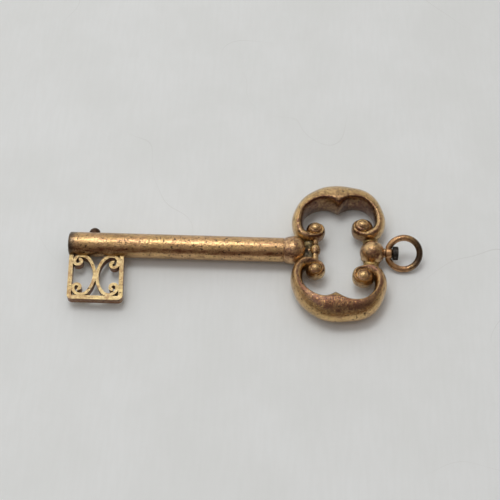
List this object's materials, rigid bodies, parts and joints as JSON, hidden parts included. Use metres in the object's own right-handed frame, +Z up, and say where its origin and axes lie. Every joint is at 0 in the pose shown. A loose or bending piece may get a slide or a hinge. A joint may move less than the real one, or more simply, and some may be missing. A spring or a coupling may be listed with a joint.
{
  "type": "decorative brass key",
  "caption": "Key-shaped brass ornament with a round tube shank, a bit of strip scrollwork, a bow of cast C-scrolls and a swivelling ring at its end.",
  "frame": {"origin": "on the table, under the middle of the key's bounding box", "axes": "+X along the shank from the tip to the ring, +Y away from the bit, +Z up from the table the key lies on"},
  "size_m": [0.0758, 0.0336, 0.0062],
  "materials": {
    "shank_brass": "drawn brass, long wear streaks, darkened along the sides",
    "bit_brass": "bright worn brass strip, dark in the corners",
    "collar_brass": "polished brass with a rubbed reddish patch",
    "bow_brass": "cast brass, polished on the high parts, pitted and dark in the recesses",
    "ring_brass": "polished wire, reddish brown in the shade",
    "dark_steel": "blackened steel"
  },
  "bodies": {
    "key": {"shank_tube": "shank_brass", "tip_plug": "shank_brass", "stud": "dark_steel", "bit_bracket": "bit_brass", "bit_scroll_tip_side": "bit_brass", "bit_scroll_bow_side": "bit_brass", "shank_collar": "collar_brass", "centre_bead": "bow_brass", "bow_scroll_back": "bow_brass", "bow_scroll_front": "bow_brass", "volute_button_back_shank": "bow_brass", "volute_button_back_ring": "bow_brass", "volute_button_front_shank": "bow_brass", "volute_button_front_ring": "bow_brass", "finial_ball": "collar_brass", "link_back": "bow_brass", "link_front": "bow_brass", "swivel_pin": "dark_steel"},
    "ring": {"ring_boss": "ring_brass", "ring_wire": "ring_brass"}
  },
  "joints": [
    {"name": "ring_swivel", "type": "hinge", "parent": "key", "child": "ring", "pos_m": [0.03062, 0, 0.00308], "axis": [1, 0, 0], "continuous": true}
  ]
}
